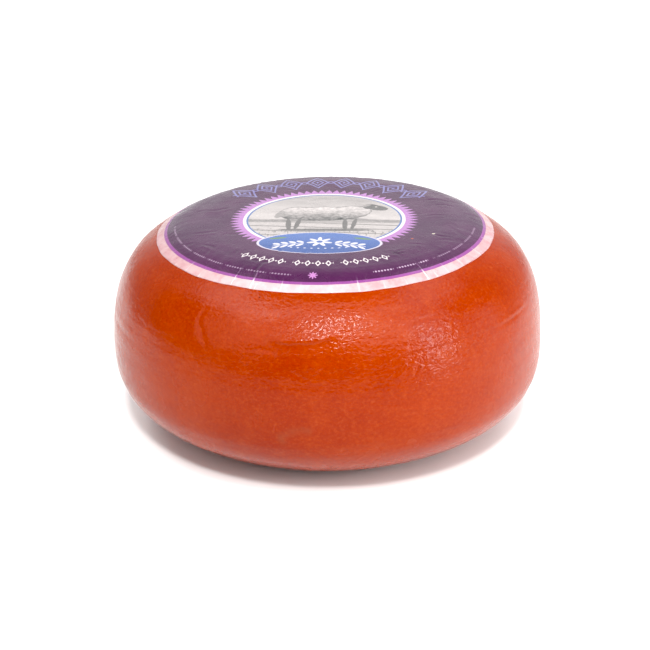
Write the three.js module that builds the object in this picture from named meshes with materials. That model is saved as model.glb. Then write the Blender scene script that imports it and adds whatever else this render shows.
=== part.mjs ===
// A whole waxed wheel of gouda-style cheese with a round paper label on its top.
// Millimetres, +Z up. The wheel stands on its flat underside at z = 0, and the
// origin is the middle of its bounding box at floor level.
//
// Two physical pieces:
//   cheese_wheel  the cheese and the wax coat it was dipped in, one grown solid
//   top_label     a paper disc stuck to the crown and bent down over the shoulder

import * as THREE from "three";

// ---- driving dimensions -----------------------------------------------------
const WHEEL_RADIUS = 120; // at the widest part of the side
const CROWN_RISE = 0.3; // the crown swells this much above its own flat rim
const SEGMENTS = 80; // round the axis

// Outline of the wheel as [radius, height] shares of WHEEL_RADIUS, one entry for
// each five degrees that the surface turns: the crown's rim, the brow the label
// bends over, the shoulder, the side, the undercut and the base's edge.
const OUTLINE = [
  [0.544, 0.9761], // 90 degrees: the crown's rim, facing straight up
  [0.6357, 0.9681],
  [0.6619, 0.9634],
  [0.6773, 0.9593],
  [0.6954, 0.9527],
  [0.7294, 0.9368],
  [0.7896, 0.9021], // 60: the shoulder's slope, where the label ends
  [0.8421, 0.8653],
  [0.8695, 0.8424],
  [0.8863, 0.8255],
  [0.9019, 0.807],
  [0.9198, 0.7814],
  [0.9391, 0.7479], // 30
  [0.956, 0.7118],
  [0.9692, 0.6754],
  [0.9808, 0.6321],
  [0.992, 0.5685],
  [0.9994, 0.4775],
  [1.0, 0.3897], // 0: the widest part of the side
  [0.9953, 0.3356],
  [0.9902, 0.3068],
  [0.9853, 0.2885],
  [0.9795, 0.2726],
  [0.9709, 0.2542],
  [0.9573, 0.2305], // -30
  [0.9394, 0.2051],
  [0.9216, 0.1838],
  [0.9041, 0.1663],
  [0.8813, 0.1472],
  [0.8407, 0.1188],
  [0.7707, 0.0784], // -60: the undercut
  [0.6918, 0.0415],
  [0.6291, 0.0187],
  [0.5872, 0.0075],
  [0.5567, 0.0021],
  [0.5324, 0.0], // the edge of the flat base
].map(([r, z]) => [r * WHEEL_RADIUS, z * WHEEL_RADIUS]);

// A pressed wheel is never quite true: it is a little thicker on one side and
// leans a little. Shares of the wheel's radius.
const THICKER_X = 0.0146; // gain in height per radius towards +X
const THICKER_Y = 0.0026; // gain in height per radius towards +Y
const LEAN_X = -0.0051; // sideways shift per unit of height
const LEAN_FROM_Z = 51.6; // the height that stays in place

const LABEL_RADIUS = 92.9; // seen from above
const LABEL_CENTRE = [-1.06, -0.25]; // stuck on slightly off the middle
const LABEL_THICKNESS = 0.3; // the paper and the film of wax over it
const LABEL_GAP = 0.3; // glue line between the wax and the paper
const LABEL_STATIONS = [
  0, 28, 52, 65.3, 72, 76.3, 79.4, 81.3, 83.5, 87.5, 90.5, LABEL_RADIUS,
]; // radii of the label's rings, close together where it bends over the brow

// ---- the wheel's surface ------------------------------------------------------
const RIM = OUTLINE[0];
// Height of the true upper surface at a radius: a faint swell over the crown,
// then the outline.
function heightAt(radius) {
  if (radius <= RIM[0]) return RIM[1] + CROWN_RISE * (1 - (radius / RIM[0]) ** 2);
  let i = 1;
  while (OUTLINE[i][0] < radius) i++;
  const [r0, z0] = OUTLINE[i - 1],
    [r1, z1] = OUTLINE[i];
  return z0 + ((z1 - z0) * (radius - r0)) / (r1 - r0);
}
// From the true figure of revolution to the wheel as it was pressed.
function settle(x, y, z) {
  return [
    x + LEAN_X * (z - LEAN_FROM_Z),
    y,
    z * (1 + (THICKER_X * x + THICKER_Y * y) / WHEEL_RADIUS),
  ];
}
function onTop(x, y) {
  return new THREE.Vector3(...settle(x, y, heightAt(Math.hypot(x, y))));
}
function topNormal(x, y) {
  const d = 1.5;
  const du = onTop(x + d, y).sub(onTop(x - d, y));
  const dv = onTop(x, y + d).sub(onTop(x, y - d));
  return du.cross(dv).normalize();
}

// LatheGeometry turns a profile round +Y. Laid over to stand on +Z, a profile
// that runs from the bottom up to the crown gives faces that point outwards.
function turned(profile, place) {
  const geometry = new THREE.LatheGeometry(profile, SEGMENTS);
  geometry.rotateX(Math.PI / 2);
  const p = geometry.getAttribute("position");
  for (let i = 0; i < p.count; i++)
    p.setXYZ(i, ...place(p.getX(i), p.getY(i), p.getZ(i)));
  p.needsUpdate = true;
  geometry.computeVertexNormals();
  return geometry;
}

// ---- cheese_wheel ----------------------------------------------------------------
const crownStations = [0, 22, 44].map((r) => [r, heightAt(r)]);
const wheelProfile = [...crownStations, ...OUTLINE, [0, 0]]
  .reverse()
  .map(([r, z]) => new THREE.Vector2(r, z));
const wheelGeometry = turned(wheelProfile, settle);

// ---- top_label --------------------------------------------------------------------
// A closed profile: out along the glued face, round the cut edge, and back along
// the printed face. Its height is the distance from the wax, and each vertex is
// laid on the crown by its radius and angle about the label's own centre.
const labelProfile = [
  ...LABEL_STATIONS.map((r) => new THREE.Vector2(r, LABEL_GAP)),
  ...[...LABEL_STATIONS]
    .reverse()
    .map((r) => new THREE.Vector2(r, LABEL_GAP + LABEL_THICKNESS)),
];
const labelGeometry = turned(labelProfile, (u, v, off) => {
  const x = u + LABEL_CENTRE[0],
    y = v + LABEL_CENTRE[1];
  return onTop(x, y).addScaledVector(topNormal(x, y), off).toArray();
});

// ---- the group, with the origin under the middle of the wheel -----------------------
wheelGeometry.computeBoundingBox();
const middle = wheelGeometry.boundingBox.getCenter(new THREE.Vector3());

const cheese = new THREE.Mesh(
  wheelGeometry,
  new THREE.MeshStandardMaterial({ color: 0xc83c14, roughness: 0.4, metalness: 0 }),
);
cheese.name = "cheese_wheel";
const label = new THREE.Mesh(
  labelGeometry,
  new THREE.MeshStandardMaterial({ color: 0x55305e, roughness: 0.5, metalness: 0 }),
);
label.name = "top_label";

const group = new THREE.Group();
for (const mesh of [cheese, label]) {
  mesh.position.set(-middle.x, -middle.y, 0);
  group.add(mesh);
}

export default group;
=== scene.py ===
"""The looks of a waxed cheese wheel with a paper label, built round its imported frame.

Metres, +Z up, the wheel standing on z = 0 with -Y towards the viewer. The wax is a
fine mesh with the dents, folds and seams of the real coat; the label is a thin sheet
that follows the crown, cockled and pleated where it bends over the shoulder. All the
printed art is generic and is drawn by nodes from the label's own paper coordinates.
"""

import math

import bpy
import numpy as np
from mathutils import Matrix, Vector


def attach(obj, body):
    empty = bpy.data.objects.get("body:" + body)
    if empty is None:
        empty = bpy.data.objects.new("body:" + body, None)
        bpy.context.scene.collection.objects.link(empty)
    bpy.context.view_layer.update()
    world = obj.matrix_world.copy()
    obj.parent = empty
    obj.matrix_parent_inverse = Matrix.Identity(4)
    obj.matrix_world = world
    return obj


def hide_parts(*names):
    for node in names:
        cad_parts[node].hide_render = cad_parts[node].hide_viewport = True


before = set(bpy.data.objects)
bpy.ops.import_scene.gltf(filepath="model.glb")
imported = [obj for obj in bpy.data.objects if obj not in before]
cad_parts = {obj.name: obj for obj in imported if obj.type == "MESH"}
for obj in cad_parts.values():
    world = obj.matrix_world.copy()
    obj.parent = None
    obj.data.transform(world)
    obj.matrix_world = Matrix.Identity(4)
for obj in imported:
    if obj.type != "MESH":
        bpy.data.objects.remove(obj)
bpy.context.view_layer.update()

R = 0.120  # the wheel's radius at its widest
MM = 0.001

# ---------------------------------------------------------------------------
# The wheel's outline: [radius, height] shares of R for each five degrees that
# the surface turns, from the crown's rim to the edge of the flat base.
# ---------------------------------------------------------------------------
TURN = np.radians(np.arange(90, -90, -5.0))
OUTLINE = R * np.array([
    (0.544, 0.9761), (0.6357, 0.9681), (0.6619, 0.9634), (0.6773, 0.9593),
    (0.6954, 0.9527), (0.7294, 0.9368), (0.7896, 0.9021), (0.8421, 0.8653),
    (0.8695, 0.8424), (0.8863, 0.8255), (0.9019, 0.807), (0.9198, 0.7814),
    (0.9391, 0.7479), (0.956, 0.7118), (0.9692, 0.6754), (0.9808, 0.6321),
    (0.992, 0.5685), (0.9994, 0.4775), (1.0, 0.3897), (0.9953, 0.3356),
    (0.9902, 0.3068), (0.9853, 0.2885), (0.9795, 0.2726), (0.9709, 0.2542),
    (0.9573, 0.2305), (0.9394, 0.2051), (0.9216, 0.1838), (0.9041, 0.1663),
    (0.8813, 0.1472), (0.8407, 0.1188), (0.7707, 0.0784), (0.6918, 0.0415),
    (0.6291, 0.0187), (0.5872, 0.0075), (0.5567, 0.0021), (0.5324, 0.0),
])
CROWN_RISE = 0.3 * MM
LABEL_R = 92.9 * MM
LABEL_AT = np.array([-1.06, -0.25]) * MM
PICTURE_AT = np.array([-1.39, -3.76]) * MM  # the print sits a little off the middle


def outline_points():
    """The outline as a dense smooth polyline of (radius, height)."""
    rim = OUTLINE[0]
    points = [
        (r, rim[1] + CROWN_RISE * (1 - (r / rim[0]) ** 2))
        for r in np.linspace(0, rim[0], 140, endpoint=False)
    ]
    for i in range(len(OUTLINE) - 1):
        p0, p1 = OUTLINE[i], OUTLINE[i + 1]
        chord = math.hypot(*(p1 - p0))
        t0 = np.array([math.sin(TURN[i]), -math.cos(TURN[i])]) * chord
        t1 = np.array([math.sin(TURN[i + 1]), -math.cos(TURN[i + 1])]) * chord
        for t in np.linspace(0, 1, 24, endpoint=False):
            points.append(tuple(
                (2 * t**3 - 3 * t**2 + 1) * p0 + (t**3 - 2 * t**2 + t) * t0
                + (3 * t**2 - 2 * t**3) * p1 + (t**3 - t**2) * t1
            ))
    points += [(r, 0.0) for r in np.linspace(OUTLINE[-1][0], 0, 60)]
    return np.array(points)


LINE = outline_points()
ALONG = np.r_[0, np.cumsum(np.hypot(*np.diff(LINE, axis=0).T))]
TOP = LINE[: int(np.argmax(LINE[:, 0]))]  # crown to the widest part
TOP_ALONG = ALONG[: len(TOP)]


def settle(p):
    """From the true figure of revolution to the wheel as it was pressed."""
    x, y, z = p[..., 0], p[..., 1], p[..., 2]
    return np.stack(
        [x - 0.0051 * (z - 0.0516), y, z * (1 + (0.0146 * x + 0.0026 * y) / R)], -1
    )


def unit(v):
    return v / np.maximum(np.linalg.norm(v, axis=-1, keepdims=True), 1e-15)


def on_top(x, y):
    r = np.hypot(x, y)
    return settle(np.stack([x, y, np.interp(r, TOP[:, 0], TOP[:, 1])], -1))


def spot(azimuth, z):
    """A point of the side, by degrees round from the viewer (+ to the right) and height in mm."""
    a = math.radians(azimuth - 90)
    side = LINE[140:]
    r = float(np.interp(-z * MM, -side[:, 1], side[:, 0]))
    return settle(np.array([r * math.cos(a), r * math.sin(a), z * MM]))


# ---------------------------------------------------------------------------
# Noise and small shaping functions
# ---------------------------------------------------------------------------
def noise(p, size, seed):
    """Smooth noise in [-1, 1] at points p, with lumps about `size` metres across."""
    rng = np.random.default_rng(seed)
    order = rng.permutation(256)
    grads = unit(rng.normal(size=(256, 3)))
    q = p / size + rng.uniform(0, 100, 3)
    base = np.floor(q).astype(np.int64)
    f = q - base
    u = f * f * f * (f * (f * 6 - 15) + 10)
    total = np.zeros(len(p))
    for dx in (0, 1):
        for dy in (0, 1):
            for dz in (0, 1):
                c = base + (dx, dy, dz)
                h = order[(order[(order[c[:, 0] & 255] + c[:, 1]) & 255] + c[:, 2]) & 255]
                w = (
                    (u[:, 0] if dx else 1 - u[:, 0])
                    * (u[:, 1] if dy else 1 - u[:, 1])
                    * (u[:, 2] if dz else 1 - u[:, 2])
                )
                total += w * (grads[h] * (f - (dx, dy, dz))).sum(1)
    return total * 1.6


def smooth(edge0, edge1, x):
    t = np.clip((x - edge0) / (edge1 - edge0), 0, 1)
    return t * t * (3 - 2 * t)


def near_line(p, line):
    """Distance from each point to a polyline, and how far along it (0 to 1)."""
    best = np.full(len(p), 1e9)
    share = np.zeros(len(p))
    line = np.asarray(line)
    steps = np.r_[0, np.cumsum(np.linalg.norm(np.diff(line, axis=0), axis=1))]
    for i in range(len(line) - 1):
        a, b = line[i], line[i + 1]
        ab = b - a
        t = np.clip(((p - a) @ ab) / (ab @ ab), 0, 1)
        d = np.linalg.norm(p - (a + t[:, None] * ab), axis=1)
        closer = d < best
        best[closer] = d[closer]
        share[closer] = ((steps[i] + t * (steps[i + 1] - steps[i])) / steps[-1])[closer]
    return best, share


def bend(points, steps=10):
    """A smooth curve through (azimuth, height) points, laid on the side."""
    q = np.array(points, float)
    q = np.vstack([2 * q[0] - q[1], q, 2 * q[-1] - q[-2]])
    out = []
    for i in range(1, len(q) - 2):
        for t in np.linspace(0, 1, steps, endpoint=False):
            out.append(0.5 * (
                2 * q[i] + (q[i + 1] - q[i - 1]) * t
                + (2 * q[i - 1] - 5 * q[i] + 4 * q[i + 1] - q[i + 2]) * t**2
                + (3 * q[i] - q[i - 1] - 3 * q[i + 1] + q[i + 2]) * t**3
            ))
    out.append(q[-2])
    return np.array([spot(a, z) for a, z in out])


def taper(share, ends=0.18):
    """1 along a line, easing to 0 at both ends."""
    return smooth(0, ends, share) * smooth(0, ends, 1 - share)


def new_mesh(name, verts, faces):
    me = bpy.data.meshes.new(name)
    me.from_pydata(verts.tolist(), [], faces)
    me.validate()
    me.polygons.foreach_set("use_smooth", np.ones(len(me.polygons), bool))
    me.update()
    ob = bpy.data.objects.new(name, me)
    bpy.context.scene.collection.objects.link(ob)
    return ob


def vector_attribute(ob, name, values):
    a = ob.data.attributes.new(name, "FLOAT_VECTOR", "POINT")
    a.data.foreach_set("vector", np.asarray(values, np.float32).ravel())


def float_attribute(ob, name, values):
    a = ob.data.attributes.new(name, "FLOAT", "POINT")
    a.data.foreach_set("value", np.asarray(values, np.float32).ravel())


# ---------------------------------------------------------------------------
# The wheel
# ---------------------------------------------------------------------------
AROUND = 600
label_edge_along = float(np.interp(84 * MM, TOP[:, 0], TOP_ALONG))
base_edge_along = float(ALONG[-1] - OUTLINE[-1][0])
# rings lie closer together on the shoulder, and columns on the side with the finest marks
fine_s = np.linspace(label_edge_along - 0.006, base_edge_along + 0.002, 2000)
fine_z = np.interp(fine_s, ALONG, LINE[:, 1]) / MM
weight = np.cumsum(1 + 1.3 * ((fine_z > 66) & (fine_z < 104)))
side_stations = np.interp(np.linspace(weight[0], weight[-1], 146), weight, fine_s)
stations = np.r_[
    np.linspace(0.012, label_edge_along - 0.012, 6),
    side_stations,
    base_edge_along + np.array([0.006, 0.014, 0.028, 0.046]),
]
ring_r = np.interp(stations, ALONG, LINE[:, 0])
ring_z = np.interp(stations, ALONG, LINE[:, 1])
ring_r = np.r_[0, ring_r, 0]
ring_z = np.r_[LINE[0, 1], ring_z, 0]
stations = np.r_[0, stations, ALONG[-1]]
FINE = 264
theta = np.radians(np.r_[
    np.linspace(-180, -45, 171, endpoint=False), np.linspace(-45, 50, FINE, endpoint=False),
    np.linspace(50, 180, AROUND - 171 - FINE, endpoint=False),
] - 90.0)  # the seam is at the back

body_r, body_z, body_s = ring_r[1:-1], ring_z[1:-1], stations[1:-1]
grid = np.stack([
    body_r[:, None] * np.cos(theta)[None], body_r[:, None] * np.sin(theta)[None],
    np.repeat(body_z[:, None], AROUND, 1),
], -1)
true_wheel = np.vstack([[[0, 0, ring_z[0]]], grid.reshape(-1, 3), [[0, 0, 0]]])
along = np.r_[0, np.repeat(body_s, AROUND), ALONG[-1]]
wheel = settle(true_wheel)

# outward normals of the smooth wheel, from the grid itself
g = wheel[1:-1].reshape(len(body_r), AROUND, 3)
d_around = np.roll(g, -1, 1) - np.roll(g, 1, 1)
d_down = np.gradient(g, axis=0)
n = unit(np.cross(d_down, d_around))
wheel_normal = np.vstack([[[0, 0, 1.0]], n.reshape(-1, 3), [[0, 0, -1.0]]])

plan_r = np.hypot(true_wheel[:, 0] - LABEL_AT[0], true_wheel[:, 1] - LABEL_AT[1])
on_side = (along > label_edge_along - 0.02).astype(float)
# how far outside the label: no relief under it, nor on the base's flat ring
clear = np.where(true_wheel[:, 2] > 0.09, smooth(LABEL_R - 1 * MM, LABEL_R + 5 * MM, plan_r), 1.0)
clear *= smooth(base_edge_along + 2 * MM, base_edge_along - 14 * MM, along)
clear[along > base_edge_along] = 0

p = wheel
relief = (
    0.34 * MM * noise(p, 0.052, 11)
    + 0.16 * MM * noise(p, 0.024, 12)
    + 0.07 * MM * noise(p, 0.011, 13)
    + 0.030 * MM * noise(p, 0.0055, 14)
)
# the coat is smoother on the left and more worked in the middle and on the right
azimuth = np.degrees(np.arctan2(p[:, 1], p[:, 0])) + 90
azimuth = (azimuth + 180) % 360 - 180
height = p[:, 2] / MM


def patch(az, z, wide, tall):
    """1 at the middle of an oval patch of the side, easing to 0; sizes in degrees and mm."""
    return np.exp(-(((azimuth - az) / wide) ** 2 + ((height - z) / tall) ** 2))


worked = 0.25 + 0.75 * np.clip(
    patch(4, 98, 15, 10) + 0.66 * patch(35, 84, 14, 18) + 0.45 * patch(24, 72, 17, 22)
    + 0.8 * patch(-20.5, 84, 4, 9) + 0.60 * patch(-22, 104, 9, 7) + 0.45 * patch(8, 70, 14, 18) + 0.8 * patch(-80, 50, 12, 22) + 0.7 * patch(150, 80, 30, 22)
    + 0.6 * patch(-140, 60, 26, 26) + 0.5 * patch(95, 60, 18, 20), 0, 1,
)
relief += worked * (
    0.070 * MM * noise(p * (1, 1, 2.0), 0.0076, 15) + 0.055 * MM * noise(p * (1, 1, 1.6), 0.0042, 16)
)


def groove(points, depth, width, lip=0.0, ends=0.18, offset=0.0):
    """A line pressed into the coat; lip raises a soft ridge beside it, above (+) or below (-)."""
    global relief
    line = bend([(a, z + offset) for a, z in points])
    lo, hi = line.min(0) - 0.012, line.max(0) + 0.012
    pick = np.flatnonzero(((p > lo) & (p < hi)).all(1))
    d, share = near_line(p[pick], line)
    t = taper(share, ends) * (d < 0.011)
    relief[pick] -= depth * MM * t * np.exp(-((d / (width * MM)) ** 2))
    if lip:
        up = abs(lip)
        shifted = bend([(a, z + math.copysign(width * 1.9, lip)) for a, z in points])
        d2, share2 = near_line(p[pick], shifted)
        relief[pick] += up * MM * taper(share2, ends) * (d2 < 0.011) * np.exp(-((d2 / (width * 1.5 * MM)) ** 2))


def fold(points, rise, above, below, trough, ends=0.3):
    """A lip along a line, soft on its upper side and steep on its lower, with a trough under it."""
    global relief
    line = bend(points)
    steps = np.r_[0, np.cumsum(np.linalg.norm(np.diff(line, axis=0), axis=1))]
    lo, hi = line.min(0) - 0.014, line.max(0) + 0.014
    pick = np.flatnonzero(((p > lo) & (p < hi)).all(1))
    d, share = near_line(p[pick], line)
    s = d * np.sign(p[pick][:, 2] - np.interp(share, steps / steps[-1], line[:, 2])) / MM
    t = taper(share, ends) * smooth(13, 9, d / MM)
    relief[pick] += rise * MM * t * np.where(s > 0, np.exp(-((s / above) ** 2)), np.exp(-((s / below) ** 2)))
    relief[pick] += 0.24 * MM * t * np.exp(-((s / 1.05) ** 2))
    relief[pick] -= trough * MM * t * np.exp(-(((s + 4.2) / 2.6) ** 2))


# the crescent fold under the main highlight
fold([(-17, 91.9), (-14, 91.2), (-10.8, 90.9), (-7, 91.2), (-3.6, 91.8), (-0.6, 92.8), (2.2, 94.3), (4.4, 96.0)], 0.78, 4.4, 1.7, 0.10)
# small dents left under it
groove([(-8.5, 87.0), (-6.0, 86.2), (-3.6, 86.8)], 0.10, 0.7, ends=0.4)
groove([(4.2, 83.4), (6.2, 84.3), (8.2, 84.0)], 0.17, 0.9, ends=0.4)
# over the fold the coat was pressed into a flatter face
relief += 0.55 * MM * patch(4, 104.5, 15, 6.5) - 0.32 * MM * patch(4, 98.5, 14, 6.5) + 0.30 * MM * patch(16, 99.0, 9, 8)
# the C-shaped edge of an old dent on the left
groove([(-33.8, 99.8), (-35.2, 97.5), (-35.8, 94.3), (-35.0, 91.7), (-34.2, 90.2), (-32.8, 86.3), (-31.0, 82.7)], 0.26, 1.5)
relief += 0.16 * MM * patch(-37.5, 91, 2.6, 9) - 0.22 * MM * patch(-31.0, 92, 4.2, 8)
# a drip line running straight down
groove([(-30.5, 82), (-30.0, 71.6), (-29.8, 56.3)], 0.05, 1.2)
# the long seam that climbs round to the right, and its faint forks
groove([(6.5, 67.0), (11.5, 76.7), (16.5, 80.6), (21.0, 82.4), (29.5, 83.4), (37.2, 83.6), (48.0, 82.9), (53.8, 83.0), (62.2, 83.1), (70.0, 84.1)], 0.17, 0.8, lip=0.12)
groove([(41.2, 95.9), (50.2, 97.2), (58.8, 97.7)], 0.09, 1.2)
groove([(12, 93.5), (20, 95.6), (29, 97.0), (36, 97.6)], 0.10, 0.85, lip=0.06)
# shallow crossing scores
groove([(-9.2, 77.1), (-6.5, 74.6), (-4.0, 72.0)], 0.15, 0.85)
groove([(-4.0, 72.0), (-1.2, 78.4), (2.6, 85.4)], 0.15, 0.85)
groove([(-20.5, 84.6), (-17.5, 86.6), (-15.0, 86.3), (-12.4, 84.7)], 0.20, 0.95)
# a flattened facet and a lifted flake by the left edge
groove([(-85.0, 72.1), (-78.8, 69.6), (-70.0, 69.5), (-63.5, 70.0), (-57.8, 70.9)], 0.16, 1.8, lip=0.14)
groove([(-70.5, 32.3), (-64.2, 39.0), (-59.5, 45.1), (-58.0, 50.4)], 0.26, 1.4, lip=0.2)
groove([(-71.5, 53.0), (-69.0, 46.8), (-63.5, 46.4), (-59.5, 45.1)], 0.14, 1.5)
# the bevel that the press cloth left just above the undercut, all the way round
bevel_z = 33.0 + 2.2 * np.sin(np.radians(azimuth * 2 + 40)) + 1.6 * np.sin(np.radians(azimuth * 3 - 20))
rim_line = (height - bevel_z)
relief -= 0.22 * MM * np.exp(-((rim_line / 1.7) ** 2)) * (0.55 + 0.45 * noise(p, 0.03, 21))
relief += 0.20 * MM * np.exp(-(((rim_line + 5.5) / 3.4) ** 2)) * (0.6 + 0.4 * noise(p, 0.04, 22))
# marks on the hidden sides, of the same kinds
groove([(128, 96), (136, 90), (141, 82), (150, 78), (163, 77)], 0.15, 1.4, lip=0.08)
groove([(-176, 70), (-165, 73), (-152, 71), (-140, 74)], 0.14, 1.3, lip=0.07)
groove([(96, 44), (104, 50), (115, 52)], 0.16, 1.5, lip=0.10)
groove([(-112, 92), (-107, 84), (-108, 74)], 0.18, 1.5, lip=0.10)
groove([(-128, 50), (-118, 46), (-104, 47)], 0.14, 1.4)
groove([(172, 55), (178, 50), (186, 48)], 0.13, 1.3)

wheel_out = wheel + wheel_normal * (relief * clear * on_side)[:, None]
wheel_out[:, 2] = np.maximum(wheel_out[:, 2], 0.0)

m = len(body_r)
idx = 1 + np.arange(m * AROUND).reshape(m, AROUND)
faces = []
nxt = np.roll(idx, -1, 1)
quads = np.stack([idx[:-1], idx[1:], nxt[1:], nxt[:-1]], -1).reshape(-1, 4)
faces += quads.tolist()
faces += [(0, int(idx[0, j]), int(nxt[0, j])) for j in range(AROUND)]
last = 1 + m * AROUND
faces += [(last, int(nxt[-1, j]), int(idx[-1, j])) for j in range(AROUND)]
cheese = new_mesh("wax_wheel", wheel_out, faces)
float_attribute(cheese, "worked", np.clip(worked, 0, 1))
float_attribute(cheese, "under_label", 1 - clear * (along < base_edge_along))
smear_line = bend([(-10.8, 39.5), (-11.2, 42.0), (-9.0, 45.1), (-6.5, 46.9), (-4.6, 46.6)])
d_smear, _ = near_line(p, smear_line)
smear = np.exp(-((d_smear / (2.0 * MM)) ** 2)) * (0.65 + 0.35 * noise(p, 0.004, 31))
for az, z, wide, tall, much in ((118, 70, 4, 2.4, 0.6), (-150, 44, 5, 2.0, 0.5), (60, 28, 4, 1.5, 0.4)):
    smear = np.maximum(smear, much * patch(az, z, wide, tall))
float_attribute(cheese, "smear", np.clip(smear, 0, 1))
# pale scuffing along the bevel, and pale patches at the left and right rims that are painted sheen: a painted
# reflection of the bright room on the grazing edges
scuff_and_rim_sheen = 0.45 * np.exp(-(((rim_line + 1.2) / 2.4) ** 2)) * (0.5 + 0.9 * noise(p, 0.013, 32))
# painted sheen: pale patches on the left and right rims
scuff_and_rim_sheen = np.maximum(scuff_and_rim_sheen, 0.8 * patch(-72, 42, 8, 16) * (0.6 + 0.6 * noise(p, 0.007, 33)))
scuff_and_rim_sheen = np.maximum(scuff_and_rim_sheen, 0.6 * patch(-80, 66, 12, 10))
scuff_and_rim_sheen = np.maximum(scuff_and_rim_sheen, 0.5 * patch(72, 66, 10, 26))
float_attribute(cheese, "scuff_and_rim_sheen", np.clip(scuff_and_rim_sheen, 0, 1))


# ---------------------------------------------------------------------------
# The label: a thin closed sheet on the crown, in rings about its own centre
# ---------------------------------------------------------------------------
rng = np.random.default_rng(7)
measured_pleats = np.array([-159.7, -147.6, -141.0, -134.3, -120.9, -114.0, -112.4, -104.0, -97.8, -88.0, -79.3, -71.0, -63.5, -55.6, -52.0, -47.0, -39.3, -28.0, -16.0])
others = []
a = -5.0
while a < 196:
    others.append(a)
    a += rng.uniform(4.5, 12.0)
pleats = np.radians(np.r_[measured_pleats, others])
pleat_size = np.r_[rng.uniform(0.35, 0.8, len(measured_pleats)), rng.uniform(0.3, 0.9, len(others))]
pleat_size[[4, 5, 9, 13]] = 1.0
pleat_side = np.where(rng.random(len(pleats)) < 0.5, -1.0, 1.0)
pleat_start = rng.uniform(0.690, 0.742, len(pleats))  # share of R where each fold begins
pleat_start[[4, 5, 13]] = 0.665

cols = [np.linspace(-math.pi, math.pi, 420, endpoint=False)]
for q in pleats:
    cols.append(q + np.array([-0.85, -0.45, -0.2, 0.0, 0.2, 0.45, 0.85]) * MM / LABEL_R)
cols = np.sort((np.concatenate(cols) + math.pi) % (2 * math.pi) - math.pi)
keep = np.r_[True, np.diff(cols) > 0.12 * MM / LABEL_R]
cols = cols[keep]
COLS = len(cols)

TOP_RINGS, UNDER_RINGS = 112, 12
budget = 195000 // 2 // COLS - UNDER_RINGS - 2
TOP_RINGS = min(TOP_RINGS, budget)
ring = np.r_[
    np.linspace(2.2 * MM, 76 * MM, TOP_RINGS - 30, endpoint=False),
    np.linspace(76 * MM, LABEL_R - 0.15 * MM, 30),
]
low_ring = np.r_[np.linspace(6 * MM, 74 * MM, 6), np.linspace(78 * MM, LABEL_R - 0.10 * MM, UNDER_RINGS - 6)]

edge_wave = 1 + 0.0016 * np.sin(cols * 5 + 1.0) + 0.0012 * np.sin(cols * 13 + 0.4) + 0.0008 * np.sin(cols * 31)


def label_point(rho, angle):
    x, y = rho * np.cos(angle) + LABEL_AT[0], rho * np.sin(angle) + LABEL_AT[1]
    return x, y


def label_normal(x, y, d=0.8 * MM):
    du = on_top(x + d, y) - on_top(x - d, y)
    dv = on_top(x, y + d) - on_top(x, y - d)
    return unit(np.cross(du, dv))


def pleat_height(rho, angle):
    """Height of the folds, and a 0..1 mask along their crests, where a highlight is painted."""
    up = np.zeros(len(rho))
    crest_highlight = np.zeros(len(rho))
    for q, size, side, start in zip(pleats, pleat_size, pleat_side, pleat_start):
        c = ((angle - q + math.pi) % (2 * math.pi) - math.pi) * rho * side
        pick = np.flatnonzero(np.abs(c) < 6 * MM)
        grow = smooth(start * R, (start + 0.045) * R, rho[pick])
        cc = c[pick]
        lift = np.where(cc < 0, np.exp(cc / (1.5 * MM)), smooth(0.35 * MM, 0.0, cc))
        up[pick] = np.maximum(up[pick], grow * size * lift)
        crest_highlight[pick] = np.maximum(crest_highlight[pick], grow * size * np.exp(-((cc / (0.26 * MM)) ** 2)))
    return up, crest_highlight


def spot_top(x, y):
    """A point of the print in shares of R from the label's centre, in metres."""
    return np.array([x * R + LABEL_AT[0], y * R + LABEL_AT[1]])


top_rho = np.repeat(ring[:, None], COLS, 1)
rim_share = smooth(0.80 * LABEL_R, LABEL_R, top_rho)
top_rho = top_rho * (1 + rim_share * (edge_wave - 1)[None])
ang = np.repeat(cols[None], len(ring), 0)
top_rho, ang = top_rho.ravel(), ang.ravel()
x, y = label_point(top_rho, ang)
base = on_top(x, y)
nrm = label_normal(x, y)
flat_xy = np.stack([x, y, np.zeros_like(x)], -1)

up, crest_highlight = pleat_height(top_rho, ang)
cockle = (
    0.055 * MM * noise(flat_xy, 0.021, 41)
    + 0.040 * MM * noise(flat_xy, 0.0105, 42)
    + 0.026 * MM * noise(flat_xy * (1, 1.25, 1), 0.0052, 43)
    + 0.014 * MM * noise(flat_xy, 0.0028, 44)
)
# fine ruckles where the flat disc is forced down over the brow
ruckle = smooth(0.50 * R, 0.70 * R, top_rho) * smooth(0.80 * R, 0.72 * R, top_rho)
polar = np.stack([top_rho * 0.45, ang * 0.085, np.zeros_like(ang)], -1)
cockle += 0.110 * MM * ruckle * noise(polar, 0.0050, 45)

crease_shade_mask = np.zeros(len(top_rho))


def crease_with_painted_shade(points, depth, width, dark=1.0, side=1.0):
    """A sharp crease in the paper through points given in shares of R; its darkening along the fold is painted shade.
    """
    global cockle, crease_shade_mask
    line = np.array([[*spot_top(a, b), 0.0] for a, b in points])
    d, share = near_line(flat_xy, line)
    t = taper(share, 0.25)
    cockle = cockle - depth * MM * t * np.exp(-((d / (width * MM)) ** 2))
    cockle = cockle + 0.5 * depth * MM * t * np.exp(-(((d - 1.9 * width * MM) / (1.3 * width * MM)) ** 2))
    # painted shade along the crease, as strong as dark
    crease_shade_mask = np.maximum(crease_shade_mask, dark * t * np.exp(-((d / (0.62 * width * MM)) ** 2)))


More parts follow.
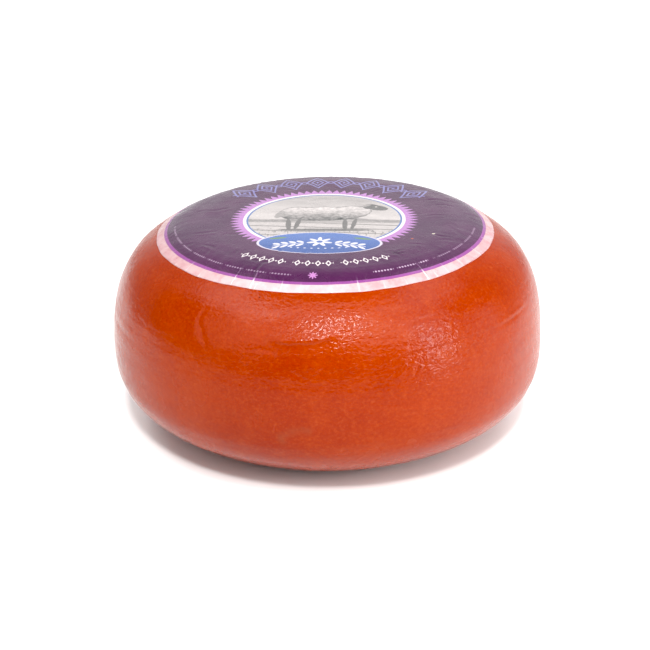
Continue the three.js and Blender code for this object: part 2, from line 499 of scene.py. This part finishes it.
crease_with_painted_shade([(0.262, -0.476), (0.285, -0.458), (0.300, -0.484), (0.322, -0.452), (0.348, -0.440)], 0.26, 0.75, 0.9)
crease_with_painted_shade([(0.276, -0.500), (0.305, -0.492), (0.330, -0.478), (0.352, -0.470)], 0.20, 0.7, 0.7)
crease_with_painted_shade([(0.300, -0.462), (0.318, -0.500)], 0.18, 0.7, 0.6)
crease_with_painted_shade([(0.250, -0.462), (0.262, -0.490)], 0.14, 0.7, 0.5)
crease_with_painted_shade([(-0.215, -0.553), (-0.262, -0.556), (-0.290, -0.610), (-0.310, -0.668)], 0.26, 0.85, 0.8)
crease_with_painted_shade([(-0.335, -0.500), (-0.310, -0.530), (-0.262, -0.548)], 0.16, 0.8, 0.4)
crease_with_painted_shade([(-0.552, -0.318), (-0.500, -0.352), (-0.470, -0.400)], 0.15, 0.8, 0.35)
crease_with_painted_shade([(-0.610, -0.180), (-0.540, -0.190), (-0.470, -0.170)], 0.14, 1.0, 0.25)
crease_with_painted_shade([(-0.580, 0.110), (-0.500, 0.120), (-0.430, 0.170)], 0.14, 1.2, 0.3)
crease_with_painted_shade([(0.480, -0.260), (0.530, -0.276), (0.575, -0.280)], 0.15, 0.7, 0.45)
crease_with_painted_shade([(0.470, 0.230), (0.530, 0.240), (0.600, 0.210)], 0.18, 1.2, 0.3)
crease_with_painted_shade([(0.500, 0.150), (0.560, 0.160), (0.610, 0.140)], 0.15, 1.0, 0.3)
crease_with_painted_shade([(0.455, -0.010), (0.500, 0.010), (0.560, 0.000)], 0.13, 1.0, 0.25)
for _ in range(64):
    a0, r0 = rng.uniform(-math.pi, math.pi), rng.uniform(0.43, 0.70)
    turn = a0 + rng.uniform(-0.9, 0.9) + (0 if rng.random() < 0.6 else math.pi / 2)
    length = rng.uniform(0.03, 0.10)
    cx, cy = r0 * math.cos(a0), r0 * math.sin(a0)
    k = rng.uniform(-0.25, 0.25)
    ends = [(cx + length * s * math.cos(turn + k * s), cy + length * s * math.sin(turn + k * s)) for s in (-0.5, 0.0, 0.5)]
    crease_with_painted_shade(ends, rng.uniform(0.05, 0.17), rng.uniform(0.6, 1.1), rng.uniform(0.08, 0.4))

paper = 0.26 * MM - 0.05 * MM * smooth(0.86 * LABEL_R, LABEL_R, top_rho)
top_height = paper + np.maximum(cockle, -0.16 * MM) + 0.22 * MM * up
top_height -= 0.05 * MM * np.exp(-((LABEL_R - top_rho) / (0.5 * MM)))
top_points = base + nrm * top_height[:, None]

low_rho = np.repeat(low_ring[:, None], COLS, 1) * np.where(
    np.arange(len(low_ring))[:, None] >= len(low_ring) - 3, edge_wave[None], 1.0)
low_ang = np.repeat(cols[None], len(low_ring), 0)
lx, ly = label_point(low_rho.ravel(), low_ang.ravel())
low_points = on_top(lx, ly) + label_normal(lx, ly) * 0.04 * MM

centre_top = on_top(*(LABEL_AT[:, None])) + [0, 0, 0.26 * MM]
centre_low = on_top(*(LABEL_AT[:, None])) + [0, 0, 0.04 * MM]
lverts = np.vstack([centre_top, top_points, centre_low, low_points])
mt, ml = len(ring), len(low_ring)
ti = 1 + np.arange(mt * COLS).reshape(mt, COLS)
li = 2 + mt * COLS + np.arange(ml * COLS).reshape(ml, COLS)
tn, ln = np.roll(ti, -1, 1), np.roll(li, -1, 1)
lfaces = np.stack([ti[:-1], ti[1:], tn[1:], tn[:-1]], -1).reshape(-1, 4).tolist()
lfaces += [(0, int(ti[0, j]), int(tn[0, j])) for j in range(COLS)]
lfaces += np.stack([ti[-1], li[-1], ln[-1], tn[-1]], -1).tolist()  # the cut edge
lfaces += np.stack([li[1:], li[:-1], ln[:-1], ln[1:]], -1).reshape(-1, 4).tolist()
lc = 1 + mt * COLS
lfaces += [(lc, int(ln[0, j]), int(li[0, j])) for j in range(COLS)]
label = new_mesh("paper_label", lverts, lfaces)
lall_x = np.r_[LABEL_AT[0], x, LABEL_AT[0], lx]
lall_y = np.r_[LABEL_AT[1], y, LABEL_AT[1], ly]
is_top = np.r_[1, np.ones(len(x)), 0, np.zeros(len(lx))]
# the print's own coordinates: shares of R from the label's centre, and "printed side" in z
vector_attribute(label, "paper", np.stack([(lall_x - LABEL_AT[0]) / R, (lall_y - LABEL_AT[1]) / R, is_top], -1))
# and from the picture's centre, turned so that the picture is upright
twist = math.radians(3.3)
px, py = (lall_x - PICTURE_AT[0]) / R, (lall_y - PICTURE_AT[1]) / R
vector_attribute(label, "picture", np.stack([
    px * math.cos(twist) - py * math.sin(twist), px * math.sin(twist) + py * math.cos(twist), is_top], -1))
float_attribute(label, "crest_highlight", np.r_[0, crest_highlight, 0, np.zeros(len(lx))])
# the creases' painted shade, for the print to darken
float_attribute(label, "crease_with_painted_shade", np.r_[0, crease_shade_mask, 0, np.zeros(len(lx))])


# ---------------------------------------------------------------------------
# Node arithmetic: sockets that can be added, multiplied and compared
# ---------------------------------------------------------------------------
TREE = None


def node(kind, **settings):
    made = TREE.nodes.new(kind)
    for key, value in settings.items():
        setattr(made, key, value)
    return made


def plug(value, socket):
    if isinstance(value, V):
        TREE.links.new(value.socket, socket)
    elif value is not None:
        socket.default_value = value


class V:
    def __init__(self, socket):
        self.socket = socket

    def __add__(self, o): return calc("ADD", self, o)
    def __radd__(self, o): return calc("ADD", o, self)
    def __sub__(self, o): return calc("SUBTRACT", self, o)
    def __rsub__(self, o): return calc("SUBTRACT", o, self)
    def __mul__(self, o): return calc("MULTIPLY", self, o)
    def __rmul__(self, o): return calc("MULTIPLY", o, self)
    def __truediv__(self, o): return calc("DIVIDE", self, o)
    def __pow__(self, o): return calc("POWER", self, o)


def calc(op, a, b=None, c=None, clamp=False):
    n_ = node("ShaderNodeMath", operation=op, use_clamp=clamp)
    for value, socket in zip((a, b, c), n_.inputs):
        plug(value, socket)
    return V(n_.outputs[0])


def low(a, b): return calc("MINIMUM", a, b)
def high(a, b): return calc("MAXIMUM", a, b)
def size_of(a): return calc("ABSOLUTE", a)
def clamp01(a): return calc("ADD", a, 0.0, clamp=True)


def ease(edge0, edge1, x):
    """0 to 1 as x goes from edge0 to edge1, smoothly; edge0 may be the larger."""
    n_ = node("ShaderNodeMapRange", interpolation_type="SMOOTHSTEP", clamp=True)
    plug(x, n_.inputs["Value"])
    if edge0 < edge1:
        low_, high_, a_, b_ = edge0, edge1, 0.0, 1.0
    else:
        low_, high_, a_, b_ = edge1, edge0, 1.0, 0.0
    n_.inputs["From Min"].default_value, n_.inputs["From Max"].default_value = low_, high_
    n_.inputs["To Min"].default_value, n_.inputs["To Max"].default_value = a_, b_
    return V(n_.outputs["Result"])


def inside(x, edge, soft):
    """1 where x is below edge."""
    return ease(edge + soft, edge - soft, x)


def band(x, a, b, soft):
    return ease(a - soft, a + soft, x) * ease(b + soft, b - soft, x)


def blend(fac, a, b):
    """Mix of two numbers."""
    n_ = node("ShaderNodeMix", data_type="FLOAT", clamp_factor=True)
    for value, socket in zip((fac, a, b), (n_.inputs[0], n_.inputs[2], n_.inputs[3])):
        plug(value, socket)
    return V(n_.outputs[0])


def srgb(r, g, b):
    def lin(c):
        c /= 255
        return c / 12.92 if c <= 0.04045 else ((c + 0.055) / 1.055) ** 2.4
    return (lin(r), lin(g), lin(b), 1.0)


def tint(fac, a, b, how="MIX"):
    """Mix of two colours."""
    n_ = node("ShaderNodeMix", data_type="RGBA", blend_type=how, clamp_factor=True)
    for value, socket in zip((fac, a, b), (n_.inputs[0], n_.inputs[6], n_.inputs[7])):
        plug(value, socket)
    return V(n_.outputs[2])


def attribute(name, kind="Fac"):
    return V(node("ShaderNodeAttribute", attribute_name=name).outputs[kind])


def place():
    """Where the point is, in metres in the part's own frame."""
    return V(node("ShaderNodeTexCoord").outputs["Object"])


def vec(op, a, b=None, out="Vector"):
    n_ = node("ShaderNodeVectorMath", operation=op)
    plug(a, n_.inputs[0])
    if b is not None:
        plug(b, n_.inputs[1])
    return V(n_.outputs[out])


def scaled(v, k):
    n_ = node("ShaderNodeVectorMath", operation="SCALE")
    plug(v, n_.inputs[0])
    plug(k, n_.inputs["Scale"])
    return V(n_.outputs["Vector"])


def split(v):
    n_ = node("ShaderNodeSeparateXYZ")
    plug(v, n_.inputs[0])
    return V(n_.outputs[0]), V(n_.outputs[1]), V(n_.outputs[2])


def join(x_, y_, z_=0.0):
    n_ = node("ShaderNodeCombineXYZ")
    for value, socket in zip((x_, y_, z_), n_.inputs):
        plug(value, socket)
    return V(n_.outputs[0])


def grain(v, scale, detail=2.0, rough=0.5, twist_=0.0, out="Fac"):
    n_ = node("ShaderNodeTexNoise")
    plug(v, n_.inputs["Vector"])
    n_.inputs["Scale"].default_value = scale
    n_.inputs["Detail"].default_value = detail
    n_.inputs["Roughness"].default_value = rough
    n_.inputs["Distortion"].default_value = twist_
    return V(n_.outputs[out])


def cells(v, scale, feature="F1", out="Distance", random=1.0):
    n_ = node("ShaderNodeTexVoronoi", feature=feature)
    plug(v, n_.inputs["Vector"])
    n_.inputs["Scale"].default_value = scale
    n_.inputs["Randomness"].default_value = random
    return V(n_.outputs[out])


def oval(v, at, radii, turn=0.0):
    """Distance from an oval's centre as a share of its radius: below 1 is inside."""
    n_ = node("ShaderNodeMapping", vector_type="TEXTURE")
    plug(v, n_.inputs["Vector"])
    n_.inputs["Location"].default_value = (at[0], at[1], 0)
    n_.inputs["Rotation"].default_value = (0, 0, math.radians(turn))
    n_.inputs["Scale"].default_value = (radii[0], radii[1], 1)
    return vec("LENGTH", V(n_.outputs[0]), out="Value")


def bump(height, distance, strength=1.0, normal=None):
    n_ = node("ShaderNodeBump")
    plug(height, n_.inputs["Height"])
    n_.inputs["Distance"].default_value = distance
    plug(strength, n_.inputs["Strength"])
    if normal is not None:
        plug(normal, n_.inputs["Normal"])
    return V(n_.outputs[0])


def material(name):
    global TREE
    mat = bpy.data.materials.new(name)
    mat.use_nodes = True
    TREE = mat.node_tree
    TREE.nodes.clear()
    shader = node("ShaderNodeBsdfPrincipled")
    out = node("ShaderNodeOutputMaterial")
    TREE.links.new(shader.outputs[0], out.inputs["Surface"])
    return mat, shader


# ---------------------------------------------------------------------------
# Wax
# ---------------------------------------------------------------------------
wax, shader = material("cheese_wax")
at = place()
large = grain(at, 16, 3, 0.55)
middle = grain(at, 70, 4, 0.6)
fine = grain(at, 420, 3, 0.6)
worked_at = attribute("worked")
scuff_and_sheen_at = attribute("scuff_and_rim_sheen")
smear_at = attribute("smear")

deep = (0.218, 0.0165, 0.0002, 1)
warm = (0.260, 0.0250, 0.0006, 1)
colour = tint(ease(0.30, 0.72, large), deep, warm)
# thicker and thinner coats show as faint clouds
colour = tint(ease(0.52, 0.78, middle) * 0.35, colour, (0.306, 0.040, 0.003, 1))
colour = tint(ease(0.44, 0.22, middle) * 0.40, colour, (0.197, 0.0112, 0.0001, 1))
colour = tint(ease(0.50, 0.80, fine) * 0.14, colour, (0.40, 0.090, 0.020, 1))
speck = grain(at, 640, 3, 0.7)
colour = tint(ease(0.50, 0.70, speck) * 0.20, colour, (0.37, 0.070, 0.012, 1))
colour = tint(ease(0.50, 0.32, speck) * 0.26, colour, (0.160, 0.0090, 0.0001, 1))
# pale scuffed wax along the bevel, and painted sheen on the left and right rims
scuffing_and_sheen = scuff_and_sheen_at * ease(0.35, 0.75, grain(at, 190, 4, 0.65))
colour = tint(scuffing_and_sheen * 0.36, colour, (0.38, 0.130, 0.075, 1))
# pinholes, darker than the coat, scattered here and there
pin_cell = node("ShaderNodeTexVoronoi", feature="F1")
plug(at, pin_cell.inputs["Vector"])
pin_cell.inputs["Scale"].default_value = 62
pin_keep = split(V(pin_cell.outputs["Color"]))[0]
pins = inside(V(pin_cell.outputs["Distance"]), 0.022, 0.008) * ease(0.55, 0.60, pin_keep)
colour = tint(pins * 0.75, colour, (0.115, 0.010, 0.002, 1))
# a brownish smear where something rubbed
colour = tint(smear_at * 0.55, colour, (0.20, 0.046, 0.018, 1))
plug(colour, shader.inputs["Base Color"])

rough = 0.25 + 0.09 * ease(0.35, 0.75, grain(at, 34, 3, 0.6)) + scuffing_and_sheen * 0.12
plug(rough - worked_at * 0.145, shader.inputs["Roughness"])
shader.inputs["IOR"].default_value = 1.44
shader.inputs["Specular IOR Level"].default_value = 0.23
shader.inputs["Sheen Weight"].default_value = 0.008
shader.inputs["Sheen Roughness"].default_value = 0.35
shader.inputs["Sheen Tint"].default_value = (1.0, 0.86, 0.82, 1)

pebble = grain(at, 700, 2.0, 0.6)
coarse_pebble = grain(vec("MULTIPLY", at, (1, 1, 1.7)), 350, 1.0, 0.5, 0.4)
tiny = grain(at, 1500, 2.0, 0.6)
dimple = grain(vec("MULTIPLY", at, (1, 1, 1.5)), 620, 1.0, 0.5, 0.5)
lumps = pebble * 0.13 + dimple * (0.04 + worked_at * 0.22) + coarse_pebble * (0.14 + worked_at * 0.36) + tiny * 0.04
lumps = lumps - pins * 0.5
plug(bump(lumps, 0.00090, blend(worked_at, 0.60, 1.0)), shader.inputs["Normal"])
cheese.data.materials.append(wax)


# ---------------------------------------------------------------------------
# The printed label. x and y are shares of the wheel's radius on the paper.
# ---------------------------------------------------------------------------
print_mat, shader = material("printed_paper")
at = place()
paper_at = attribute("paper", "Vector")
lab_x, lab_y, printed_side = split(paper_at)
lab = vec("MULTIPLY", paper_at, (1, 1, 0))
lab_r = vec("LENGTH", lab, out="Value")
lab_turn = calc("ARCTAN2", lab_y, lab_x) * (180 / math.pi)  # degrees
pic = vec("MULTIPLY", attribute("picture", "Vector"), (1, 1, 0))
pic_x, pic_y, _ = split(pic)
pic_r = vec("LENGTH", pic, out="Value")
pic_turn = calc("ARCTAN2", pic_y, pic_x) * (180 / math.pi)
ink = grain(at, 900, 3, 0.6)
cloud = grain(at, 45, 4, 0.6)

PURPLE = (0.100, 0.0200, 0.0900, 1)
PURPLE_DEEP = (0.074, 0.0125, 0.0710, 1)
ORCHID = srgb(196, 138, 206)
VIOLET = srgb(160, 84, 160)
WHITE = srgb(250, 244, 242)

art = tint(ease(0.35, 0.7, cloud), PURPLE_DEEP, PURPLE)
art = tint(ease(0.55, 0.8, ink) * 0.25, art, (0.14, 0.045, 0.13, 1))

# the sunburst: 72 pointed rays round the picture
ray = calc("PINGPONG", pic_turn * (72 / 360), 0.5) * 2
ray_edge = 0.389 + (1 - ray) * 0.041
art = tint(ease(0.0018, -0.0018, pic_r - ray_edge), art, ORCHID)

# the garland of outlined lozenges over the picture, where a title would stand
GAR = 13.4
gar_turn = (pic_turn - 90.0 + 4 * GAR) / GAR
gar_on = band(gar_turn, 0.0, 8.0, 0.01)
gx = size_of(calc("FRACT", gar_turn) - 0.5) * (GAR * math.pi / 180 * 0.555)
gy = size_of(pic_r - 0.556)
loz = gx / 0.058 + gy / 0.094
LAVENDER = srgb(148, 146, 208)
lines = high(band(loz, 0.82, 1.0, 0.02), band(loz, 0.40, 0.56, 0.02))
lines = high(lines, inside(loz, 0.14, 0.03))
bead = vec("LENGTH", join(gx - 0.0649, gy), out="Value")
lines = high(lines, band(bead, 0.010, 0.018, 0.0015))
art = tint(lines * gar_on * 0.85, art, LAVENDER)

# a small white border under the picture: three runs of lozenges and dots
row_turn = pic_turn + 90.0
PITCH = 4.5
run1 = band(row_turn, -36.2, -13.6, 0.1)
run2 = band(row_turn, -10.6, 7.4, 0.1)
run3 = band(row_turn, 10.4, 33.0, 0.1)
t1 = (row_turn + 36.2 + PITCH * 0.0) / PITCH
cell = calc("FRACT", calc("ADD", t1, run2 * (-0.68) + run3 * (-0.35)))
rx = size_of(cell - 0.5) * (PITCH * math.pi / 180 * 0.56)
ry = size_of(pic_r - 0.560)
small_loz = rx / 0.0135 + ry / 0.027
run_marks = high(inside(small_loz, 1.0, 0.05) * ease(0.46, 0.58, small_loz),
                 inside(vec("LENGTH", join(rx - 0.0220, ry), out="Value"), 0.0048, 0.0010))
art = tint(run_marks * high(run1, high(run2, run3)) * 0.92, art, WHITE)

# beaded lines near the rim, where small print would run
bead_turn = calc("FRACT", lab_turn / 1.15) - 0.5
bead_d = vec("LENGTH", join(bead_turn * (1.15 * math.pi / 180 * 0.685), lab_r - 0.686), out="Value")
beads = inside(bead_d, 0.0044, 0.0012)
left_run = band(lab_turn, -177.5, -100.5, 0.2)
bold_run = band(lab_turn, -73.0, -50.2, 0.2)
thin_run = band(lab_turn, -47.6, -10.0, 0.2)
gaps = ease(0.06, 0.10, calc("PINGPONG", lab_turn / 9.2, 0.5))
art = tint(beads * gaps * (left_run * 0.50 + bold_run * 0.9 + thin_run * 0.42), art, srgb(214, 186, 214))

# one small eight-pointed star low on the label
star_v = vec("SUBTRACT", pic, (-0.010, -0.655, 0))
sx, sy, _ = split(star_v)
star_r = vec("LENGTH", star_v, out="Value")
star_edge = 0.0155 + calc("COSINE", calc("ARCTAN2", sy, sx) * 8.0) * 0.0055
art = tint(ease(0.0012, -0.0012, star_r - star_edge), art, srgb(205, 140, 205))

# ---- the picture: a sheep on a hill, drawn in greys like an engraving -------------
wob = scaled(vec("SUBTRACT", grain(pic, 26, 3, 0.6, out="Color"), (0.5, 0.5, 0.5)), 0.028)
fleecy = vec("ADD", pic, vec("MULTIPLY", wob, (1, 1, 0)))
wob2 = scaled(vec("SUBTRACT", grain(pic, 60, 2, 0.6, out="Color"), (0.5, 0.5, 0.5)), 0.010)
drawn = vec("ADD", pic, vec("MULTIPLY", wob2, (1, 1, 0)))
_, dy, _ = split(drawn)
hatch = grain(vec("MULTIPLY", pic, (26, 120, 1)), 1.0, 3, 0.7)
curls = cells(fleecy, 62, "SMOOTH_F1")
sky = blend(ease(0.02, 0.34, pic_y), 0.66, 0.50) + (grain(vec("MULTIPLY", pic, (3.2, 9, 1)), 1.6, 4, 0.6) - 0.5) * 0.34
sky = sky + (hatch - 0.5) * 0.16
# far hills, a dark hedge, then fields with dark furrows
hill_line = pic_y - 0.005 - calc("SINE", pic_x * 11.0 + 0.7) * 0.018 - calc("SINE", pic_x * 23.0) * 0.006
grey = blend(inside(hill_line, 0.0, 0.004), sky, 0.46 + (hatch - 0.5) * 0.35)
hedge = hill_line + 0.030 + (grain(pic, 42, 3, 0.7) - 0.5) * 0.050
grey = blend(band(hedge, -0.004, 0.020, 0.004) * 0.75, grey, 0.24 + hatch * 0.20)
near_line_y = dy + 0.052
grey = blend(inside(near_line_y, 0.0, 0.004), grey, 0.62 + (hatch - 0.5) * 0.42)
furrow = calc("PINGPONG", (dy + 0.06) * 17 + pic_x * 1.3, 0.5)
grey = blend(inside(near_line_y, 0.0, 0.003) * inside(furrow, 0.10, 0.06) * 0.6, grey, 0.20)
# the sheep stands to the right
shadow = oval(drawn, (0.010, -0.150), (0.215, 0.016))
grey = blend(inside(shadow, 1.0, 0.10) * 0.75, grey, 0.14)
legs = low(oval(drawn, (-0.158, -0.080), (0.0125, 0.080), 5), oval(drawn, (-0.118, -0.070), (0.011, 0.078), -6))
legs = low(legs, low(oval(drawn, (0.098, -0.080), (0.0115, 0.080), 2), oval(drawn, (0.138, -0.068), (0.0105, 0.076), -6)))
grey = blend(inside(legs, 1.0, 0.10), grey, 0.16 + hatch * 0.16)
body = low(oval(fleecy, (-0.010, 0.075), (0.205, 0.098), 2), oval(fleecy, (0.120, 0.105), (0.090, 0.082), 20))
body = low(body, oval(fleecy, (-0.130, 0.080), (0.085, 0.088), -10))
fleece = blend(ease(-0.02, 0.15, pic_y), 0.20, 0.64) + (0.55 - curls) * 0.42
grey = blend(inside(body, 1.0, 0.035), grey, fleece)
grey = blend(band(body, 0.95, 1.03, 0.03) * 0.55, grey, 0.16)
head = low(oval(drawn, (0.235, 0.165), (0.058, 0.034), -28), oval(drawn, (0.205, 0.180), (0.036, 0.036)))
grey = blend(inside(head, 1.0, 0.06), grey, 0.16 + hatch * 0.14)
ear = oval(drawn, (0.178, 0.190), (0.034, 0.012), 32)
grey = blend(inside(ear, 1.0, 0.10), grey, 0.42)
eye = oval(pic, (0.232, 0.178), (0.006, 0.005))
grey = blend(inside(eye, 1.0, 0.2), grey, 0.80)
tail = oval(fleecy, (-0.208, 0.060), (0.020, 0.052), -12)
grey = blend(inside(tail, 1.0, 0.06), grey, 0.42 + (hatch - 0.5) * 0.3)
grass = ease(0.55, 0.66, grain(vec("MULTIPLY", pic, (95, 26, 1)), 1.0, 2, 0.5)) * inside(pic_y, -0.135, 0.03)
grey = clamp01((blend(grass * 0.6, grey, 0.18) - 0.5) * 1.3 + 0.50)
picture = tint(grey, srgb(52, 56, 56), srgb(248, 242, 238))
art = tint(inside(pic_r, 0.389, 0.0012), art, ORCHID)
art = tint(inside(pic_r, 0.3715, 0.0012), art, WHITE)
art = tint(inside(pic_r, 0.3560, 0.0012), art, srgb(98, 128, 186))
art = tint(inside(pic_r, 0.3475, 0.0012), art, picture)

# ---- the blue oval over the foot of the picture, with a flower and two sprigs -------
ov = oval(pic, (-0.003, -0.319), (0.276, 0.134))
art = tint(inside(ov, 1.0, 0.006), art, srgb(226, 222, 240))
blue = tint(ease(-0.42, -0.20, pic_y), srgb(64, 98, 168), srgb(92, 126, 194))
art = tint(inside(ov, 0.962, 0.006), art, blue)
fl = vec("SUBTRACT", pic, (-0.003, -0.305, 0))
fx, fy, _ = split(fl)
fr = vec("LENGTH", fl, out="Value")
petal = 0.040 + calc("COSINE", calc("ARCTAN2", fy, fx) * 7.0 + 1.57) * 0.017
mark = ease(0.002, -0.002, fr - petal) * ease(0.012, 0.016, fr)
ax = size_of(fx)
stem_y = fy + 0.012 + ax * ax * 1.1
leaf_cell = calc("FRACT", ax / 0.034) - 0.5
leaf_y = size_of(stem_y) - 0.020
leaf = oval(join(leaf_cell * 0.034, leaf_y), (0, 0), (0.020, 0.0085), 38)
on_stem = band(ax, 0.068, 0.204, 0.001)
mark = high(mark, high(inside(leaf, 1.0, 0.10), inside(size_of(stem_y), 0.0026, 0.001)) * on_stem)
art = tint(mark * 0.95, art, srgb(244, 244, 250))
green = low(oval(pic, (-0.190, -0.262), (0.040, 0.0095), 14), oval(pic, (0.184, -0.262), (0.040, 0.0095), -14))
art = tint(inside(green, 1.0, 0.12), art, srgb(112, 150, 104))
dots = calc("FRACT", (ax + 0.015) / 0.030) - 0.5
dot_row = inside(vec("LENGTH", join(dots * 0.030, fy + 0.082 - ax * ax * 0.8), out="Value"), 0.0052, 0.0012)
art = tint(dot_row * band(ax, -1.0, 0.135, 0.001) * 0.9, art, srgb(238, 240, 250))

# ---- rim: a violet line, then the unprinted border, pink where the wax shows through
crest_highlight_at = attribute("crest_highlight")
crease_shade_at = attribute("crease_with_painted_shade")
# painted shade darkens the print along the paper's creases
art = tint(crease_shade_at * 0.62, art, (0.016, 0.005, 0.022, 1))
wear = ease(0.60, 0.74, grain(at, 160, 5, 0.7)) * 0.22
art = tint(wear * 0.5, art, (0.30, 0.22, 0.30, 1))
art = tint(band(lab_r, 0.7215, 0.7355, 0.0010), art, VIOLET)
mottle = grain(at, 190, 4, 0.65)
pink = tint(ease(0.32, 0.66, mottle), srgb(217, 163, 167), srgb(232, 197, 198))
pink = tint(ease(0.58, 0.80, grain(at, 520, 3, 0.6)) * 0.5, pink, srgb(226, 168, 170))
pink = tint(band(lab_turn, -122, -80, 14) * 0.4, pink, srgb(250, 238, 238))  # where it lifts off the wax
art = tint(ease(0.7345, 0.7362, lab_r), art, pink)
# painted highlight on the pleats' crests: near white on the border, a lighter orchid on the purple
art = tint(crest_highlight_at * ease(0.715, 0.738, lab_r) * 0.95, art, srgb(255, 252, 250))
art = tint(crest_highlight_at * ease(0.735, 0.70, lab_r) * 0.35, art, srgb(206, 168, 206))
# two small specks stuck in the film
for spot_at, radius, shade in (((0.482, -0.246), 0.0062, srgb(226, 220, 196)), ((0.384, -0.307), 0.0048, srgb(206, 96, 60))):
    art = tint(inside(oval(lab, spot_at, (radius * 1.2, radius)), 1.0, 0.15), art, shade)
art = tint(ease(0.5, 0.4, printed_side), art, srgb(236, 226, 214))  # plain paper beneath
# the stock is a soft white and the inks are printed thinly
art = tint(1.0, art, (0.565, 0.545, 0.552, 1), "MULTIPLY")
plug(art, shader.inputs["Base Color"])

film = grain(at, 60, 4, 0.6)
plug(0.20 + ease(0.3, 0.8, film) * 0.15 + ease(0.734, 0.737, lab_r) * 0.06, shader.inputs["Roughness"])
shader.inputs["IOR"].default_value = 1.46
shader.inputs["Specular IOR Level"].default_value = 0.5
shader.inputs["Sheen Weight"].default_value = 0.0

crumple = grain(vec("MULTIPLY", at, (1.0, 0.75, 1.0)), 230, 4, 0.62, 1.2)
micro = grain(at, 1500, 2, 0.6)
skin = size_of(crumple - 0.5) * -1.6 + micro * 0.14
plug(bump(skin, 0.00034, 0.55), shader.inputs["Normal"])
label.data.materials.append(print_mat)


# ---------------------------------------------------------------------------
# Floor, camera and lights
# ---------------------------------------------------------------------------
round_ = np.radians(np.arange(0, 360, 3.0))
floor = new_mesh("floor", 1.6 * np.stack([np.cos(round_), np.sin(round_), 0 * round_], -1), [tuple(range(len(round_)))])
floor_mat, shader = material("pale_floor")
shader.inputs["Base Color"].default_value = (0.86, 0.855, 0.85, 1)
shader.inputs["Roughness"].default_value = 0.75
shader.inputs["Specular IOR Level"].default_value = 0.1
floor.data.materials.append(floor_mat)
floor.location.z = -0.0002

TILT = math.radians(22.866)
FAR = 7 * R
camera = bpy.data.objects.new("camera", bpy.data.cameras.new("camera"))
bpy.context.scene.collection.objects.link(camera)
camera.data.sensor_width = 36
camera.data.lens = 1479.49 / 650 * 36
camera.data.clip_start = 0.01
camera.location = (-0.0111 * R, -FAR * math.cos(TILT), 0.4407 * R + FAR * math.sin(TILT))
camera.rotation_euler = (math.pi / 2 - TILT, 0, 0)
bpy.context.scene.camera = camera


def softbox(name, azimuth_, elevation, distance, wide, tall, watts, colour_=(1, 1, 1), aim=(0, 0, 0.06)):
    """An area light seen from the wheel at that azimuth (0 the viewer, + right) and elevation."""
    data = bpy.data.lights.new(name, "AREA")
    data.shape, data.size, data.size_y = "RECTANGLE", wide, tall
    data.energy, data.color = watts, colour_
    ob = bpy.data.objects.new(name, data)
    bpy.context.scene.collection.objects.link(ob)
    a_, e_ = math.radians(azimuth_), math.radians(elevation)
    away = Vector((math.sin(a_) * math.cos(e_), -math.cos(a_) * math.cos(e_), math.sin(e_)))
    ob.location = Vector(aim) + away * distance
    ob.rotation_euler = away.to_track_quat("Z", "Y").to_euler()
    return ob


def sunlamp(name, azimuth_, elevation, angle, irradiance):
    """The main lamp, far enough off to light the whole floor evenly."""
    data = bpy.data.lights.new(name, "SUN")
    data.energy, data.angle = irradiance, math.radians(angle)
    ob = bpy.data.objects.new(name, data)
    bpy.context.scene.collection.objects.link(ob)
    a_, e_ = math.radians(azimuth_), math.radians(elevation)
    away = Vector((math.sin(a_) * math.cos(e_), -math.cos(a_) * math.cos(e_), math.sin(e_)))
    ob.rotation_euler = away.to_track_quat("Z", "Y").to_euler()
    return ob


sunlamp("key", 1, 51, 6.5, 1.95)
softbox("key_strip", 6, 53, 1.6, 1.0, 0.15, 7.0)
softbox("ceiling", 0, 76, 1.6, 1.7, 0.5, 11.0)
softbox("ceiling_left", -82, 58, 1.6, 1.3, 0.55, 8.8)
softbox("ceiling_right", 100, 58, 1.6, 1.0, 0.5, 4.6)
softbox("right_window", 57, 14, 1.6, 0.28, 0.72, 11.0)
softbox("right_front", 44, 37, 1.6, 1.6, 0.75, 12.8)
softbox("right_side", 88, 10, 1.6, 0.6, 0.8, 3.2)
softbox("left_front", -48, 30, 1.6, 1.2, 1.0, 7.2)

world = bpy.data.worlds.new("studio")
bpy.context.scene.world = world
world.use_nodes = True
TREE = world.node_tree
TREE.nodes.clear()
toward = V(node("ShaderNodeTexCoord").outputs["Generated"])
wx, wy, wz = split(toward)
# a plain pale room: bright behind the object, dim on the left and darker overhead
level = blend(ease(-0.35, 0.15, wx), 0.15, 0.46)
back = blend(ease(0.60, 0.80, wz), 1.22, 0.85) * blend(ease(0.35, 0.65, size_of(wx)), 1.0, 0.50)
level = blend(ease(0.15, 0.50, wy), level, back)
level = blend(ease(0.84, 0.94, wz), level, 0.25)
lit = node("ShaderNodeBackground")
plug(level, lit.inputs["Strength"])
seen = node("ShaderNodeBackground")
seen.inputs["Strength"].default_value = 1.0
seen.inputs["Color"].default_value = (1, 1, 1, 1)
rays = node("ShaderNodeLightPath")
pick_ = node("ShaderNodeMixShader")
TREE.links.new(rays.outputs["Is Camera Ray"], pick_.inputs[0])
TREE.links.new(lit.outputs[0], pick_.inputs[1])
TREE.links.new(seen.outputs[0], pick_.inputs[2])
world_out = node("ShaderNodeOutputWorld")
TREE.links.new(pick_.outputs[0], world_out.inputs["Surface"])

view = bpy.context.scene.view_settings
view.view_transform = "Standard"
view.look = "None"
view.exposure = 0.0
view.gamma = 1.0
view.use_curve_mapping = True  # a little camera contrast: blacks start just above zero
view.curve_mapping.black_level = (0.015, 0.015, 0.015)

# ---------------------------------------------------------------------------
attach(cheese, "root")
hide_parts("cheese_wheel")
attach(label, "root")
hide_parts("top_label")

bpy.context.view_layer.update()
